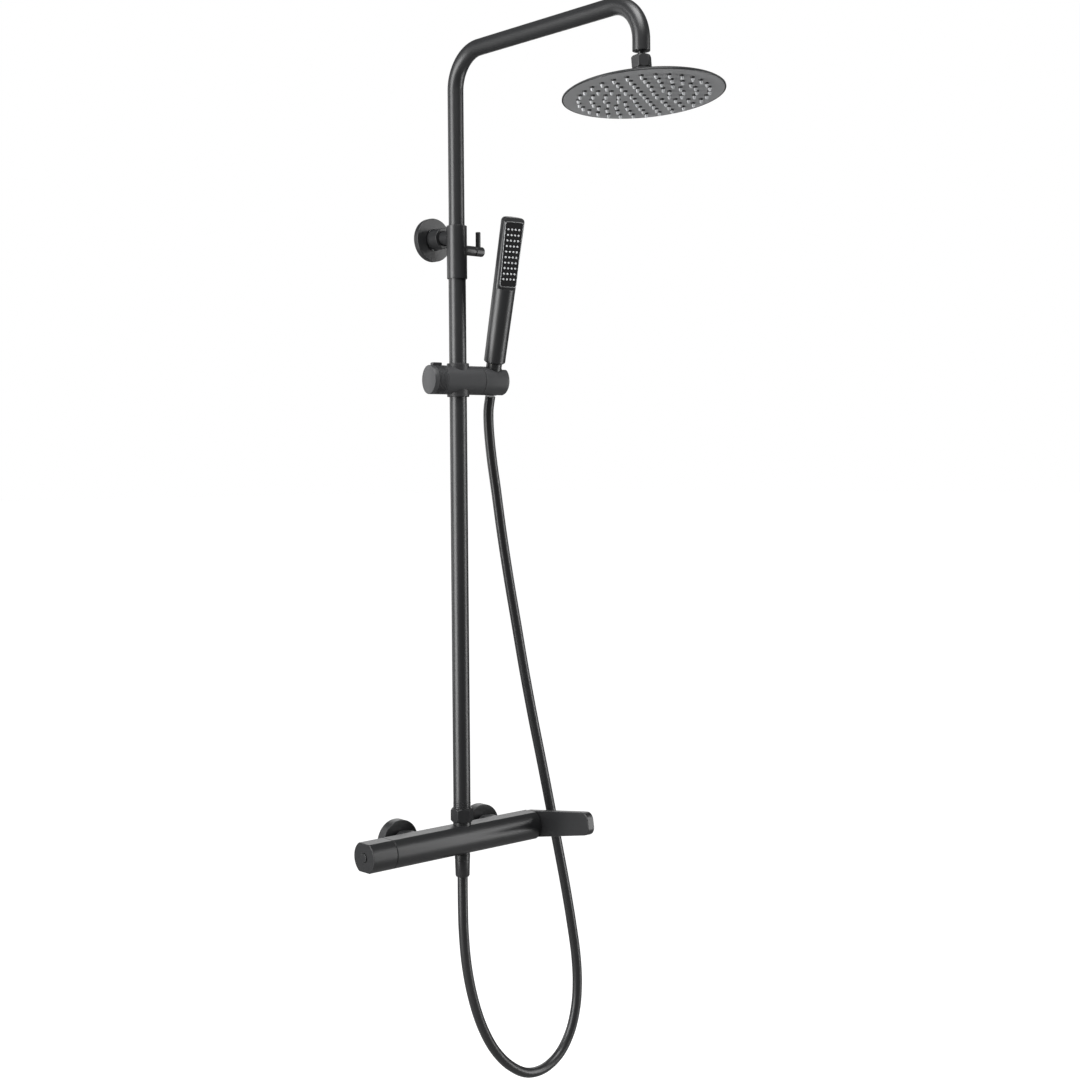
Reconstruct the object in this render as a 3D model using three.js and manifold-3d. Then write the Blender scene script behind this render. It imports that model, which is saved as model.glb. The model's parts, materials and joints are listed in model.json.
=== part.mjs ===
// Exposed rainfall shower column: a thermostatic bar valve, a telescopic riser with an overhead rain
// head, a sliding handset holder with a stick handset, and the hose between valve and handset.
// Millimetres, +Z up, +X along the wall, -Y into the room. The origin lies on the finished wall,
// midway between the two water supplies.
import * as THREE from 'three';
import { mergeVertices } from 'three/addons/utils/BufferGeometryUtils.js';
import Module from 'manifold-3d';

const wasm = await Module();
wasm.setup();

// ---- driving dimensions -------------------------------------------------------------------------
const gap = 0.3;                   // clearance between pieces that touch or turn in each other
const seam = 0.4;                  // the visible line between barrel and knob or lever

const inletSpacing = 150;          // supply to supply
const axisOut = 58;                // wall to the common axis of valve and riser
const barrelRadius = 22.5;         // valve barrel, knob and lever hub
const barrelHalfHeight = 19.5;     // the barrel is flattened above and below
const barrelLength = 260;
const endBoreRadius = 17.2;        // cartridge pockets
const endBoreDepth = 62;
const channelRadius = 9;           // water channel between the pockets
const knobLength = 39.6;
const knobWall = 3;
const buttonRadius = 6;
const buttonProud = 1.2;
const leverThickness = 12;
const leverReach = 120;
const leverTipHalfHeight = 16.2;
const leverCornerRadius = 11;
const leverTiltDeg = 8.8;

const rosetteRadius = 30;
const valveRosetteDepth = 15;
const bracketRosetteDepth = 9;
const rosetteWall = 1.8;
const supplyThreadRadius = 10.3;
const supplyThreadLength = 14;
const unionNutFlats = 32;

const lowerTubeRadius = 12;
const lowerTubeWall = 0.7;
const lowerTubeBore = lowerTubeRadius - lowerTubeWall;
const upperTubeRadius = lowerTubeBore - gap;
const upperTubeWall = 1.6;
const upperTubeBore = upperTubeRadius - upperTubeWall;
const riserNutFlats = 28;
const riserNutBottom = 23.9;
const riserNutHeight = 19;
const lowerTubeTop = 846;
const upperTubeFoot = 560;
const armHeight = 1086;
const armReach = 412.5;            // wall plane to the axis of the arm's drop
const armBendRadius = 50;
const armEndHeight = 1022.5;

const sleeveWall = 1.7;
const sleeveRadius = lowerTubeRadius + gap + sleeveWall;
const sleeveBottom = 779.4;
const sleeveTop = 852;
const bracketHeight = 838;
const bracketRodRadius = 9.7;
const bracketBossRadius = 14.4;
const bracketBossFront = 30;       // wall to the boss's front face
const clampHeight = 820;
const clampStubRadius = 6.8;
const clampStubEnd = 30.4;         // measured from the riser axis
const clampLeverEnd = 45.5;
const clampPinRadius = 3.5;
const clampPinTop = 27;            // above the stub's axis

const sliderHeight = 640;
const sliderRadius = 20;
const sliderSwingDeg = -11;
const knobFace = -46;              // along the slider's axis, from the riser axis
const knobSeam = -25;
const holderSeam = 34;
const holderEnd = 73;
const handsetOffset = 54;          // riser axis to handset axis
const handsetTiltDeg = 16;
const bushWall = 3.1;
const bushBore = lowerTubeRadius + gap;
const bushRadius = bushBore + bushWall;
const bushHalfHeight = 23;

const handsetFoot = 27.4;          // along the handset's axis, from the slider's axis
const handsetTop = 228;
const handsetFootRadius = 15;
const handsetTopRadius = 16.5;
const sprayFlat = 9.2;             // handset axis to the flat spray face at its lower end
const sprayFaceTiltDeg = 3;        // the flat goes deeper toward the top
const sprayFlatBottom = 131;
const sprayPlateWidth = 23.4;
const sprayPlateHeight = 85.4;
const sprayPlateCentre = 178.5;
const sprayFrameHeight = 89.2;
const sprayFrameLowWidth = 25.8;
const sprayFrameTopWidth = 30;
const sprayFrameRim = 1.2;
const sprayColumns = 4;
const sprayRows = 10;
const sprayColumnPitch = 5.6;
const sprayRowPitch = 7.5;
const coneTopRadius = 11;
const coneFootRadius = 9.3;
const coneTop = 25.8;
const coneFoot = -19;

const headRadius = 100;
const headTiltDeg = -5.3;
const ballHeight = 1012;
const ballRadius = 8.4;
const headDrop = 43;               // ball centre to the spray face's plane
const headRings = 5;
const headRingPitch = 16;
const headRimDepth = 8;
const swivelNutFlats = 22;

const hoseRadius = 7.2;
const hoseSides = 8;
const outletNutTop = -22.3;
const outletNutFoot = -54;

// ---- finishes -----------------------------------------------------------------------------------
const finish = (color, roughness, metalness) => () =>
  new THREE.MeshStandardMaterial({ color, roughness, metalness });
const mattBlack = finish(0x2b2c2e, 0.48, 0.35);
const bareBrass = finish(0xb39a5b, 0.38, 0.9);
const blackPlastic = finish(0x1d1e20, 0.55, 0);
const whitePlastic = finish(0xd9d9d4, 0.5, 0);
const paleSilicone = finish(0xc9cbcc, 0.6, 0);
const blackRubber = finish(0x161616, 0.8, 0);
const hosePvc = finish(0x333436, 0.4, 0.2);
const steel = finish(0xa7a9ab, 0.3, 0.95);
const greyPlate = finish(0x77797b, 0.45, 0.4);

// ---- solids -------------------------------------------------------------------------------------
function solid(geometry) {
  const bare = geometry.index ? geometry.toNonIndexed() : geometry.clone();
  bare.deleteAttribute('normal');
  bare.deleteAttribute('uv');
  const merged = mergeVertices(bare, 1e-4);
  const kept = [];
  const index = merged.index.array;
  for (let i = 0; i < index.length; i += 3) {
    const [a, b, c] = [index[i], index[i + 1], index[i + 2]];
    if (a !== b && b !== c && c !== a) kept.push(a, b, c);
  }
  return new wasm.Manifold(new wasm.Mesh({
    numProp: 3,
    vertProperties: new Float32Array(merged.attributes.position.array),
    triVerts: new Uint32Array(kept),
  }));
}

function geometryOf(body) {
  const mesh = body.getMesh();
  const geometry = new THREE.BufferGeometry();
  geometry.setAttribute('position', new THREE.BufferAttribute(mesh.vertProperties, 3));
  geometry.setIndex(new THREE.BufferAttribute(mesh.triVerts, 1));
  geometry.computeVertexNormals();
  return geometry;
}

function piece(name, body, material) {
  const mesh = new THREE.Mesh(geometryOf(body), material());
  mesh.name = name;
  return mesh;
}

const rotated = (geometry, x, y, z) =>
  geometry.applyMatrix4(new THREE.Matrix4().makeRotationFromEuler(new THREE.Euler(x, y, z)));

// A closed outline of [radius, height] pairs turned about Z.
function turned(outline, segments) {
  const points = outline.map(([r, z]) => new THREE.Vector2(r, z));
  return solid(rotated(new THREE.LatheGeometry(points, segments), Math.PI / 2, 0, 0));
}

const rod = (radius, z0, z1, segments) =>
  turned([[0, z0], [radius, z0], [radius, z1], [0, z1]], segments);

const ring = (inner, outer, z0, z1, segments) =>
  turned([[inner, z0], [outer, z0], [outer, z1], [inner, z1], [inner, z0]], segments);

const cone = (r0, z0, r1, z1, segments) =>
  turned([[0, z0], [r0, z0], [r1, z1], [0, z1]], segments);

// Turns a body whose axis is Z so that the axis points along +X or along -Y, into the room.
const alongX = (body) => body.rotate([0, 90, 0]);
const intoRoom = (body) => body.rotate([90, 0, 0]);

function box(x0, x1, y0, y1, z0, z1) {
  const geometry = new THREE.BoxGeometry(x1 - x0, y1 - y0, z1 - z0);
  geometry.translate((x0 + x1) / 2, (y0 + y1) / 2, (z0 + z1) / 2);
  return solid(geometry);
}

function hexagon(flats, z0, z1) {
  return rod(flats / Math.sqrt(3), z0, z1, 6);
}

const joined = (bodies) => bodies.reduce((all, body) => all.add(body));

// The barrel's section: a circle with a flat above and below, drawn with its width along shape X.
function barrelShape(radius, halfHeight) {
  const corner = Math.asin(halfHeight / radius);
  const shape = new THREE.Shape();
  shape.absarc(0, 0, radius, -corner, corner, false);
  shape.absarc(0, 0, radius, Math.PI - corner, Math.PI + corner, false);
  shape.closePath();
  return shape;
}

// An extruded section laid along X: shape X becomes -Y (into the room) and shape Y becomes +Z.
function sectionAlongX(shape, x0, x1, curveSegments) {
  const basis = new THREE.Matrix4().makeBasis(
    new THREE.Vector3(0, -1, 0), new THREE.Vector3(0, 0, 1), new THREE.Vector3(-1, 0, 0));
  const options = { depth: x1 - x0, bevelEnabled: false, curveSegments };
  const geometry = new THREE.ExtrudeGeometry(shape, options);
  return solid(geometry.applyMatrix4(basis)).translate([x1, 0, 0]);
}

// ---- valve: every body here is drawn about the barrel's axis ------------------------------------
const halfBarrel = barrelLength / 2;
const pocketFloor = halfBarrel - endBoreDepth;
const spigotRadius = 12.8;
const barrelBack = Math.sqrt(barrelRadius ** 2 - spigotRadius ** 2);
const spindleRadius = 4;
const spindleInner = halfBarrel - 29.5;
const knobSeamX = -halfBarrel - seam;
const knobFaceX = knobSeamX - knobLength;
const knobSpindleEnd = knobFaceX + 12;
const leverFace = halfBarrel + seam;
const leverOutside = leverFace + leverThickness;

function valveBody() {
  const barrel = sectionAlongX(barrelShape(barrelRadius, barrelHalfHeight), -halfBarrel, halfBarrel, 5);
  const channel = alongX(rod(channelRadius, -halfBarrel, halfBarrel, 10));
  const pockets = [-1, 1].map((side) => {
    const from = side < 0 ? -halfBarrel - 1 : pocketFloor;
    return alongX(rod(endBoreRadius, from, from + endBoreDepth + 1, 16));
  });
  const spigots = [-1, 1].map((side) =>
    intoRoom(rod(spigotRadius, -29.5, -barrelBack + 3, 16)).translate([side * inletSpacing / 2, 0, 0]));
  const inlets = [-1, 1].map((side) =>
    intoRoom(rod(8, -30, -5, 12)).translate([side * inletSpacing / 2, 0, 0]));
  const boss = rod(12.6, barrelHalfHeight - 2, riserNutBottom - gap, 20);
  const riserSpigot = rod(11.6, barrelHalfHeight - 2, 33.2, 16);
  const outletBoss = rod(10.6, -21.9, -barrelHalfHeight + 2, 16);
  const outletSpigot = rod(7.9, -31, -barrelHalfHeight + 2, 12);
  const outlets = rod(5, -32, 34, 10);
  return joined([barrel, ...spigots, boss, riserSpigot, outletBoss, outletSpigot])
    .subtract(joined([channel, ...pockets, ...inlets, outlets]));
}

// Cartridge: a stepped body in its pocket; its neck holds the turning spindle.
function cartridge(side) {
  const [wide, neck] = [endBoreRadius - gap, 9];
  const [shoulder, collar, nose] = [halfBarrel - 46, halfBarrel - 13, halfBarrel - 3];
  const body = turned([[0, pocketFloor + 2], [12, pocketFloor + 2], [12, shoulder], [wide, shoulder],
    [wide, collar], [neck, collar], [neck, nose], [spindleRadius + gap, nose],
    [spindleRadius + gap, spindleInner - 0.5], [0, spindleInner - 0.5]], 16);
  return side > 0 ? alongX(body) : alongX(body).rotate([0, 0, 180]);
}

function retainingNut(side) {
  const nut = ring(9.4, endBoreRadius - gap, halfBarrel - 12.7, halfBarrel - 4.5, 16);
  return side > 0 ? alongX(nut) : alongX(nut).rotate([0, 0, 180]);
}

function temperatureSpindle() {
  return alongX(ring(2.4, spindleRadius, knobSpindleEnd, -spindleInner, 12));
}

function temperatureKnob() {
  const shell = sectionAlongX(barrelShape(barrelRadius, barrelHalfHeight), knobFaceX, knobSeamX, 5);
  const hollow = alongX(ring(7, barrelHalfHeight - knobWall, knobFaceX + knobWall + 1, knobSeamX + 1, 16));
  const spindleBore = alongX(rod(spindleRadius + gap, knobSpindleEnd - 0.5, knobSeamX + 1, 12));
  const buttonBore = alongX(rod(buttonRadius + gap, knobFaceX - 1, knobSpindleEnd - 1, 16));
  const screwBore = alongX(rod(2.6, knobSpindleEnd - 2, knobSpindleEnd, 12));
  return shell.subtract(joined([hollow, spindleBore, buttonBore, screwBore]));
}

function stopButton() {
  return alongX(turned([[0, knobFaceX - buttonProud], [buttonRadius - 0.8, knobFaceX - buttonProud],
    [buttonRadius, knobFaceX - buttonProud + 0.8], [buttonRadius, knobFaceX + 3.5],
    [0, knobFaceX + 3.5]], 16));
}

function buttonSpring() {
  return alongX(ring(2.6, 4.6, knobFaceX + 3.8, knobSpindleEnd - 1.4, 12));
}

function flowSpindle() {
  return alongX(ring(1.9, spindleRadius, spindleInner, leverFace + 5.6, 12));
}

function leverShape() {
  const tip = leverReach - leverCornerRadius;
  const slope = Math.atan2(barrelHalfHeight - leverTipHalfHeight, leverReach);
  const corner = Math.asin(barrelHalfHeight / barrelRadius);
  const low = leverTipHalfHeight - leverCornerRadius;
  const shape = new THREE.Shape();
  shape.absarc(0, 0, barrelRadius, Math.PI - corner, Math.PI + corner, false);
  shape.lineTo(0, -barrelHalfHeight);
  shape.absarc(tip, -low, leverCornerRadius, -Math.PI / 2 + slope, 0, false);
  shape.absarc(tip, low, leverCornerRadius, 0, Math.PI / 2 - slope, false);
  shape.lineTo(0, barrelHalfHeight);
  shape.closePath();
  return shape;
}

function flowLever() {
  const plate = sectionAlongX(leverShape(), leverFace, leverOutside, 6);
  const hub = alongX(rod(8.7, leverFace - 3, leverFace + 1, 16));
  const bore = alongX(rod(spindleRadius + gap, leverFace - 4.4, leverFace + 6, 12));
  const screwBore = alongX(rod(2.6, leverFace + 5.6, leverOutside + 1, 12));
  const headRecess = alongX(rod(5, leverOutside - 3.4, leverOutside + 1, 16));
  return joined([plate, hub]).subtract(joined([bore, screwBore, headRecess]))
    .rotate([-leverTiltDeg, 0, 0]);
}

function leverScrew() {
  const [tip, step] = [leverFace - 2.4, leverFace + 6.3];
  const [underHead, headTop] = [leverOutside - 3.1, leverOutside - 0.6];
  return alongX(turned([[0, tip], [1.6, tip], [1.6, step], [2.2, step], [2.2, underHead],
    [4.5, underHead], [4.5, headTop], [0, headTop]], 12));
}

// A push-in cover over the lever's screw.
const leverCap = () => alongX(rod(4.7, leverOutside - 0.3, leverOutside + 0.3, 16));

function knobScrew() {
  return alongX(rod(2.1, knobSpindleEnd - 1.1, knobSpindleEnd + 18, 12));
}

// ---- wall connections: drawn about the supply's axis, z is the distance from the wall -----------
function wallUnion() {
  return turned([[7.5, -supplyThreadLength], [supplyThreadRadius, -supplyThreadLength],
    [supplyThreadRadius, 0], [10, 0], [10, 24], [12.7, 24], [12.7, 27], [7.5, 27],
    [7.5, -supplyThreadLength]], 16);
}

function unionNut() {
  const chamber = rod(13.1, 23.6, 40, 16);
  const opening = rod(10.4, 15, 30, 16);
  const saddle = alongX(rod(barrelRadius + gap, -40, 40, 24)).translate([0, 0, axisOut]);
  return hexagon(unionNutFlats, 19, 37).rotate([0, 0, 30]).subtract(joined([chamber, opening, saddle]));
}

// A non-return valve whose filter flange is the union's seal.
const checkValve = () => turned([[2.5, 27.3], [12.4, 27.3], [12.4, 28.2], [7.6, 28.2], [7.6, 43],
  [5, 43], [2.5, 27.3]], 12);

// A cup with its open side to the wall and a hole for the pipe.
function rosette(depth, holeRadius) {
  const edge = 1.2;
  return turned([[rosetteRadius - rosetteWall, 0], [rosetteRadius, 0], [rosetteRadius, depth - edge],
    [rosetteRadius - edge, depth], [holeRadius, depth], [holeRadius, depth - rosetteWall],
    [rosetteRadius - rosetteWall, depth - rosetteWall], [rosetteRadius - rosetteWall, 0]], 22);
}

function wallConnection(side, label) {
  const group = new THREE.Group();
  group.position.set(side * inletSpacing / 2, 0, 0);
  group.rotation.x = Math.PI / 2;
  group.add(piece(`wall_union_${label}`, wallUnion(), mattBlack));
  group.add(piece(`union_nut_${label}`, unionNut(), mattBlack));
  group.add(piece(`check_valve_${label}`, checkValve(), whitePlastic));
  group.add(piece(`valve_rosette_${label}`, rosette(valveRosetteDepth, 10.6), mattBlack));
  return group;
}

// ---- riser: drawn about the riser's axis --------------------------------------------------------
function riserNut() {
  const top = riserNutBottom + riserNutHeight;
  const body = hexagon(riserNutFlats, riserNutBottom, top);
  const flared = turned([[0, riserNutBottom], [14.2, riserNutBottom], [17, riserNutBottom + 3.4],
    [17, top], [0, top]], 16);
  const chamber = rod(12.1, riserNutBottom - 1, top - 4.4, 16);
  const opening = rod(9.9, top - 6, top + 1, 16);
  return body.intersect(flared).subtract(chamber.add(opening));
}

function riserTailpiece() {
  const top = riserNutBottom + riserNutHeight;
  return turned([[6.5, 35.1], [11.7, 35.1], [11.7, top - 4.7], [9.6, top - 4.7], [9.6, top + gap],
    [lowerTubeRadius + 0.2, top + gap], [lowerTubeRadius + 0.2, 51], [lowerTubeBore - 0.4, 51],
    [lowerTubeBore - 0.4, 66], [6.5, 66], [6.5, 35.1]], 16);
}

function lowerTube() {
  const padHole = alongX(rod(3.6, 5, lowerTubeRadius + 8, 12)).translate([0, 0, clampHeight]);
  return ring(lowerTubeBore, lowerTubeRadius, 51.3, lowerTubeTop, 24).subtract(padHole);
}

// Stations along the upper tube and arm, each with its exact direction: up, out, then down.
class ArmPath extends THREE.Curve {
  constructor(foot, bendSteps) {
    super();
    const drop = armReach - axisOut;
    const quarter = Math.PI / 2;
    this.stations = [{ at: new THREE.Vector3(0, 0, foot), to: new THREE.Vector3(0, 0, 1) }];
    for (let i = 0; i <= bendSteps; i += 1) {
      const a = (quarter * i) / bendSteps;
      this.stations.push({
        at: new THREE.Vector3(0, -armBendRadius * (1 - Math.cos(a)),
          armHeight - armBendRadius * (1 - Math.sin(a))),
        to: new THREE.Vector3(0, -Math.sin(a), Math.cos(a)),
      });
    }
    for (let i = 0; i <= bendSteps; i += 1) {
      const a = (quarter * i) / bendSteps;
      this.stations.push({
        at: new THREE.Vector3(0, -drop + armBendRadius * (1 - Math.sin(a)),
          armHeight - armBendRadius * (1 - Math.cos(a))),
        to: new THREE.Vector3(0, -Math.cos(a), -Math.sin(a)),
      });
    }
    this.stations.push({ at: new THREE.Vector3(0, -drop, armEndHeight), to: new THREE.Vector3(0, 0, -1) });
  }

  get steps() { return this.stations.length - 1; }

  station(t) { return this.stations[Math.round(t * this.steps)]; }

  getPoint(t, target = new THREE.Vector3()) { return target.copy(this.station(t).at); }

  getTangent(t, target = new THREE.Vector3()) { return target.copy(this.station(t).to); }

  getUtoTmapping(u) { return u; }
}

function circleShape(radius, sides) {
  const shape = new THREE.Shape();
  for (let i = 0; i < sides; i += 1) {
    const a = (2 * Math.PI * i) / sides;
    const [x, y] = [radius * Math.cos(a), radius * Math.sin(a)];
    if (i === 0) shape.moveTo(x, y);
    else shape.lineTo(x, y);
  }
  shape.closePath();
  return shape;
}

function riserArm() {
  const sides = 14;
  const section = circleShape(upperTubeRadius, sides);
  section.holes.push(circleShape(upperTubeBore, sides));
  const path = new ArmPath(upperTubeFoot, 5);
  return solid(new THREE.ExtrudeGeometry(section, { extrudePath: path, steps: path.steps }));
}

const guideBush = () => ring(lowerTubeBore - 2.6, lowerTubeBore - 0.25, upperTubeFoot - 12.3,
  upperTubeFoot - gap, 20);

const sealTop = sleeveTop - 2;

function riserSleeve() {
  const wallSide = axisOut - 14.5;   // the rod ends this far out from the riser axis, inside the boss
  const shell = rod(sleeveRadius, sleeveBottom, sleeveTop, 24);
  const bracketRod = intoRoom(rod(bracketRodRadius, -wallSide, -sleeveRadius + 3, 16))
    .translate([0, 0, bracketHeight]);
  const stub = alongX(rod(clampStubRadius, sleeveRadius - 2, clampStubEnd, 16))
    .translate([0, 0, clampHeight]);
  const wide = rod(lowerTubeRadius + gap, sleeveBottom - 1, sealTop, 24);
  const narrow = rod(upperTubeRadius + gap, sealTop - 1, sleeveTop + 1, 24);
  const screwBore = alongX(rod(3.3, 5, 40, 12)).translate([0, 0, clampHeight]);
  return joined([shell, bracketRod, stub]).subtract(joined([wide, narrow, screwBore]));
}

const sleeveSeal = () => ring(upperTubeRadius + gap, lowerTubeRadius, lowerTubeTop + gap, sealTop - gap, 20);

const clampPad = () => alongX(rod(2.9, upperTubeRadius + gap, sleeveRadius - 0.4, 12));
const clampScrew = () => alongX(rod(3, sleeveRadius - 0.1, 36.2, 12));

function clampLever() {
  const pinAt = 38.4;
  const cap = alongX(turned([[0, clampStubEnd + 0.6], [clampStubRadius, clampStubEnd + 0.6],
    [clampStubRadius, clampLeverEnd - 1.4], [clampStubRadius - 1.4, clampLeverEnd],
    [0, clampLeverEnd]], 16));
  const pin = turned([[0, 3], [clampPinRadius, 3], [clampPinRadius, clampPinTop - 0.8],
    [clampPinRadius - 0.8, clampPinTop], [0, clampPinTop]], 12).translate([pinAt, 0, 0]);
  const bore = alongX(rod(3.3, 20, 36.5, 12));
  return cap.add(pin).subtract(bore);
}

// ---- wall bracket: drawn about the bracket's axis, z is the distance from the wall --------------
const screwPitch = 32;

function bracketWallPlate() {
  const holes = [-1, 1].map((side) => rod(2.4, -1, 6, 10).translate([side * screwPitch / 2, 0, 0]));
  return rod(rosetteRadius - rosetteWall - 2, 0, 4, 20).subtract(joined([...holes, rod(3, -1, 6, 12)]));
}

function bracketBoss() {
  const body = turned([[0, 4.3], [8, 4.3], [8, 6.4], [bracketBossRadius - 0.4, 6.4],
    [bracketBossRadius - 0.4, bracketRosetteDepth + gap], [bracketBossRadius, bracketRosetteDepth + gap],
    [bracketBossRadius, bracketBossFront - 1], [bracketBossRadius - 1, bracketBossFront],
    [bracketRodRadius + gap, bracketBossFront], [bracketRodRadius + gap, 14], [3.2, 14], [3.2, 8],
    [0, 8]], 20);
  return body;
}

function bracketFixing() {
  const group = new THREE.Group();
  group.position.set(0, 0, bracketHeight);
  group.rotation.x = Math.PI / 2;
  group.add(piece('bracket_wall_plate', bracketWallPlate(), steel));
  group.add(piece('bracket_rosette', rosette(bracketRosetteDepth, bracketBossRadius), mattBlack));
  group.add(piece('bracket_boss', bracketBoss(), mattBlack));
  return group;
}

// ---- slider: X is the slider's axis, drawn about the riser axis at the slider's height ----------
const boltHead = 22;

function sliderBody() {
  const shell = alongX(rod(sliderRadius, knobSeam, holderSeam, 22));
  const bushBoreHole = rod(bushRadius + gap, -30, 30, 24);
  const lockBore = alongX(rod(4.3, knobSeam - 1, -5, 12));
  const shoePocket = alongX(rod(6.3, -20, -5, 16));
  const boltBore = alongX(rod(5.3, 5, holderSeam + 1, 14));
  const boltPocket = alongX(rod(7.6, 5, boltHead + 2, 16));
  return shell.subtract(joined([bushBoreHole, lockBore, shoePocket, boltBore, boltPocket]));
}

const sliderBush = () => ring(bushBore, bushRadius, -bushHalfHeight, bushHalfHeight, 22);
const brakeShoe = () => alongX(rod(6, -19.6, -bushRadius - gap, 16));
const lockSpindle = () => alongX(rod(4, -41, -19.9, 12));

function lockKnob() {
  const shell = alongX(turned([[0, knobFace], [sliderRadius - 1, knobFace], [sliderRadius, knobFace + 1],
    [sliderRadius, knobSeam - gap], [sliderRadius - 3.4, knobSeam - gap], [sliderRadius - 3.4, knobFace + 3],
    [7, knobFace + 3], [7, knobSeam - gap], [4 + gap, knobSeam - gap], [4 + gap, knobFace + 4],
    [0, knobFace + 4]], 22));
  const tab = box(knobFace + 5, knobSeam - 2, -4.5, 4.5, sliderRadius - 2, sliderRadius + 3.6);
  return shell.add(tab);
}

const pivotBolt = () => alongX(turned([[0, 18.4], [7.2, 18.4], [7.2, boltHead], [5, boltHead],
  [5, holderSeam + 6.5], [0, holderSeam + 6.5]], 16));

// ---- handset holder and handset: Z is the handset's axis, X the slider's axis -------------------
function handsetHolder() {
  const round = 5;
  const shell = alongX(turned([[0, holderSeam + gap], [sliderRadius, holderSeam + gap],
    [sliderRadius, holderEnd - round], [sliderRadius - 1.4, holderEnd - 1.6],
    [sliderRadius - round, holderEnd], [0, holderEnd]], 22));
  const clearance = 0.4;
  const slope = (coneTopRadius - coneFootRadius) / (12 - coneFoot);
  const reach = sliderRadius + 2;
  const seatRadius = (z) => coneFootRadius + clearance + (z - coneFoot) * slope;
  const seat = cone(seatRadius(-reach), -reach, seatRadius(reach), reach, 16)
    .translate([handsetOffset, 0, 0]);
  const slot = box(handsetOffset, holderEnd + 1, -hoseRadius - 0.8, hoseRadius + 0.8, -reach, reach);
  const boltBore = alongX(rod(5.3, holderSeam - 1, holderSeam + 6.8, 14));
  return shell.subtract(joined([seat, slot, boltBore]));
}

function coneNut() {
  return turned([[7.5, coneFoot + 1.2], [coneFootRadius - 1.2, coneFoot], [coneFootRadius, coneFoot + 1.2],
    [coneTopRadius, 12], [coneTopRadius, coneTop - 1], [coneTopRadius - 0.8, coneTop], [8.6, coneTop],
    [8.6, 13.6], [7.5, 13.6], [7.5, coneFoot + 1.2]], 16);
}

const topFerrule = () => ring(4, 7.2, coneFoot + 0.6, 12.8, 16);
const handsetInlet = () => ring(4.8, 8.2, 16, 47, 16);

const pocketDepth = 3.2;

// Turns what is drawn square to the handset's axis into the plane of the spray face.
function onSprayFace(body) {
  return body.translate([0, sprayFlat, -sprayFlatBottom])
    .rotate([-sprayFaceTiltDeg, 0, 0])
    .translate([0, -sprayFlat, sprayFlatBottom]);
}

function handsetBody() {
  const foot = handsetFoot;
  const top = handsetTop;
  const outside = turned([[0, foot], [handsetFootRadius - 1, foot], [handsetFootRadius, foot + 1],
    [handsetTopRadius, top - 3], [handsetTopRadius - 1, top - 0.9], [handsetTopRadius - 3.2, top],
    [0, top]], 24);
  const flat = box(-30, 30, -40, -sprayFlat, sprayFlatBottom, top + 5);
  const inletBore = rod(8.5, foot - 1, 48, 16);
  const waterway = rod(6.9, 40, sprayPlateCentre + sprayPlateHeight / 2 - 4, 12);
  const pocket = box(-sprayPlateWidth / 2 - gap, sprayPlateWidth / 2 + gap, -30, -sprayFlat + pocketDepth,
    sprayPlateCentre - sprayPlateHeight / 2 - gap, sprayPlateCentre + sprayPlateHeight / 2 + gap);
  return outside.subtract(joined([onSprayFace(flat), inletBore, waterway, onSprayFace(pocket)]));
}

function sprayGrid(make) {
  const bodies = [];
  for (let row = 0; row < sprayRows; row += 1) {
    for (let column = 0; column < sprayColumns; column += 1) {
      const x = (column - (sprayColumns - 1) / 2) * sprayColumnPitch;
      const z = sprayPlateCentre + (row - (sprayRows - 1) / 2) * sprayRowPitch;
      bodies.push(make().translate([x, 0, z]));
    }
  }
  return joined(bodies);
}

function sprayPlateBox(y0, y1) {
  return box(-sprayPlateWidth / 2, sprayPlateWidth / 2, y0, y1,
    sprayPlateCentre - sprayPlateHeight / 2, sprayPlateCentre + sprayPlateHeight / 2);
}

function handsetFacePlate() {
  const holes = sprayGrid(() => intoRoom(rod(1.9, sprayFlat - 3, sprayFlat + 2, 4)));
  return onSprayFace(sprayPlateBox(-sprayFlat, -sprayFlat + 1.3).subtract(holes));
}

function handsetNozzleMat() {
  const nozzle = () => intoRoom(turned([[0, sprayFlat - 1.9], [1.35, sprayFlat - 1.9],
    [1.1, sprayFlat + 1.3], [0, sprayFlat + 1.3]], 4));
  return onSprayFace(sprayPlateBox(-sprayFlat + 1.6, -sprayFlat + 2.9).add(sprayGrid(nozzle)));
}

// A face-wide outline, a little narrower at the bottom, drawn with shape Y along the handset.
function faceOutline(inset) {
  const half = sprayFrameHeight / 2 - inset;
  const [low, top] = [sprayFrameLowWidth / 2 - inset, sprayFrameTopWidth / 2 - inset];
  return [[-low, -half], [low, -half], [top, half], [-top, half]].map(([x, y]) => new THREE.Vector2(x, y));
}

function handsetFaceFrame() {
  const thickness = 0.7;
  const shape = new THREE.Shape(faceOutline(0));
  shape.holes.push(new THREE.Path(faceOutline(sprayFrameRim)));
  const frame = solid(new THREE.ExtrudeGeometry(shape, { depth: thickness, bevelEnabled: false }));
  return onSprayFace(intoRoom(frame).translate([0, -sprayFlat - gap, sprayPlateCentre]));
}

// ---- rain head: drawn about the ball's centre, hanging along -Z ---------------------------------
function armBallNipple() {
  const sphere = [];
  const stop = Math.asin(4.6 / ballRadius);
  const steps = 5;
  for (let i = 0; i <= steps; i += 1) {
    const a = -Math.PI / 2 + ((Math.PI - stop) * i) / steps;
    sphere.push([ballRadius * Math.cos(a), ballRadius * Math.sin(a)]);
  }
  const end = armEndHeight - ballHeight;
  const outline = [...sphere, [4.6, end - 1], [upperTubeBore - gap, end - 1],
    [upperTubeBore - gap, end + 12], [0, end + 12]];
  return turned(outline, 16).subtract(rod(2.6, -20, end + 20, 8));
}

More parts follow.
